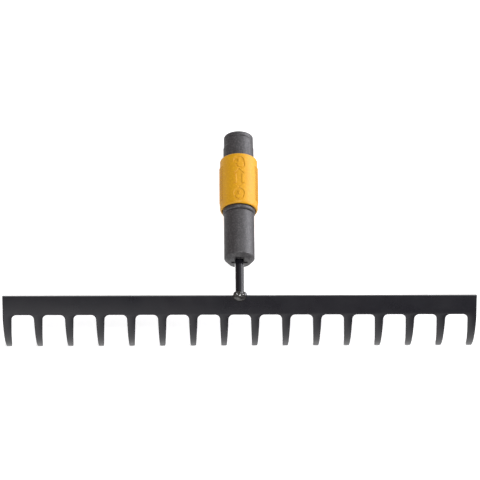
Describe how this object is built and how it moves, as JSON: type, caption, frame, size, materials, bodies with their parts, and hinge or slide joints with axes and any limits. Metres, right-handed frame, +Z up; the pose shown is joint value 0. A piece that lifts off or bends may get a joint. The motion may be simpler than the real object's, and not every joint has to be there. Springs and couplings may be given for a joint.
{
  "type": "garden rake head",
  "caption": "Steel garden rake head with short curved teeth on a straight bar, and a plastic quick-release handle socket with a sliding spring-loaded locking sleeve.",
  "frame": {"origin": "under the middle of the object, on the surface that its tooth tips and its mouth's lower edge rest on", "axes": "+X along the bar, +Y towards the handle end, +Z up"},
  "size_m": [0.42, 0.1938, 0.0531],
  "materials": {
    "painted_steel": "black stoving paint, satin",
    "weld": "glossy black paint over a weld",
    "zinc_steel": "zinc plated",
    "spring_steel": "oiled spring wire",
    "grey_plastic": "satin, fine grain",
    "core_plastic": "as moulded",
    "orange_plastic": "satin",
    "cam_plastic": "natural acetal",
    "pad_rubber": "soft"
  },
  "bodies": {
    "root": {"rake_plate": "painted_steel", "weld_bead": "weld", "tang_rod": "painted_steel", "ferrule": "grey_plastic", "tang_core_left": "core_plastic", "tang_core_right": "core_plastic", "tang_cross_pin": "zinc_steel", "ferrule_snap_ring": "spring_steel", "base_ring": "grey_plastic", "connector_body": "grey_plastic", "socket_pad": "pad_rubber", "spring_stop_washer": "zinc_steel", "sleeve_spring": "spring_steel"},
    "sleeve": {"locking_sleeve": "orange_plastic", "sleeve_cam_ring": "cam_plastic", "spring_thrust_washer": "zinc_steel"},
    "latch_front": {"latch_pawl_front": "zinc_steel"},
    "latch_rear": {"latch_pawl_rear": "zinc_steel"}
  },
  "joints": [
    {"name": "sleeve_slide", "type": "slide", "parent": "root", "child": "sleeve", "axis": [0, 0.9759, -0.2181], "range_m": [0, 0.008], "stiffness_N_per_m": 900, "springref_m": -0.008, "deforming": ["sleeve_spring"]},
    {"name": "latch_front_slide", "type": "slide", "parent": "root", "child": "latch_front", "axis": [0, 0.2181, 0.9759], "range_m": [0, 0.00128]},
    {"name": "latch_rear_slide", "type": "slide", "parent": "root", "child": "latch_rear", "axis": [0, -0.2181, -0.9759], "range_m": [0, 0.00128]}
  ],
  "couplings": [
    {"joint": "latch_front_slide", "follows": "sleeve_slide", "ratio": 0.16},
    {"joint": "latch_rear_slide", "follows": "sleeve_slide", "ratio": 0.16}
  ]
}
